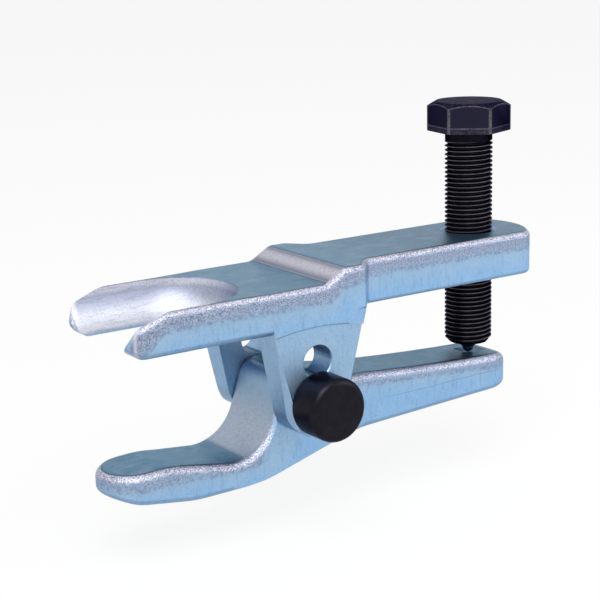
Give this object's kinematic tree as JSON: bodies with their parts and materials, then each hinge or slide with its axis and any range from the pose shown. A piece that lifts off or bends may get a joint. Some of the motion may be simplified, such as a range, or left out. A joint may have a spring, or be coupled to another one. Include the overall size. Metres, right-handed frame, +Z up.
{
  "type": "ball joint separator",
  "caption": "Fork-and-lever ball joint separator with a hexagon-headed forcing screw and a removable pivot pin.",
  "frame": {"origin": "middle of the empty upper pivot hole, midway between the two cheeks", "axes": "+X along the tool from the fork to the forcing screw, +Y along the pivot axis away from the pin's knob, +Z up along the screw towards its head"},
  "size_m": [0.1634, 0.0603, 0.1106],
  "materials": {
    "zinc_plated_forging": "satin",
    "blackened_steel": "satin",
    "bright_steel": "satin"
  },
  "bodies": {
    "arm": {"fork_arm": "zinc_plated_forging"},
    "lever": {"pressure_lever": "zinc_plated_forging"},
    "tip": {"pressure_tip": "bright_steel"},
    "screw": {"forcing_screw": "blackened_steel"},
    "pin": {"pivot_pin": "blackened_steel", "pin_snap_ring": "bright_steel"}
  },
  "joints": [
    {"name": "screw_feed", "type": "slide", "parent": "arm", "child": "tip", "axis": [0, 0, -1], "range_m": [-0.0168, 0.0307]},
    {"name": "screw_turn", "type": "hinge", "parent": "tip", "child": "screw", "pos_m": [0.0786, 0, 0], "axis": [0, 0, -1], "range_deg": [-4040, 7380]},
    {"name": "lever_swing", "type": "hinge", "parent": "arm", "child": "lever", "pos_m": [0, 0, -0.013], "axis": [0, 1, 0], "range_deg": [-12.1, 22.1]},
    {"name": "pin_withdraw", "type": "slide", "parent": "arm", "child": "pin", "axis": [0, -1, 0], "range_m": [0, 0.052], "deforming": ["pin_snap_ring"]}
  ],
  "couplings": [
    {"joint": "screw_turn", "follows": "screw_feed", "rad_per_m": 4188.8},
    {"joint": "lever_swing", "follows": "screw_feed", "rad_per_m": 12.563}
  ]
}
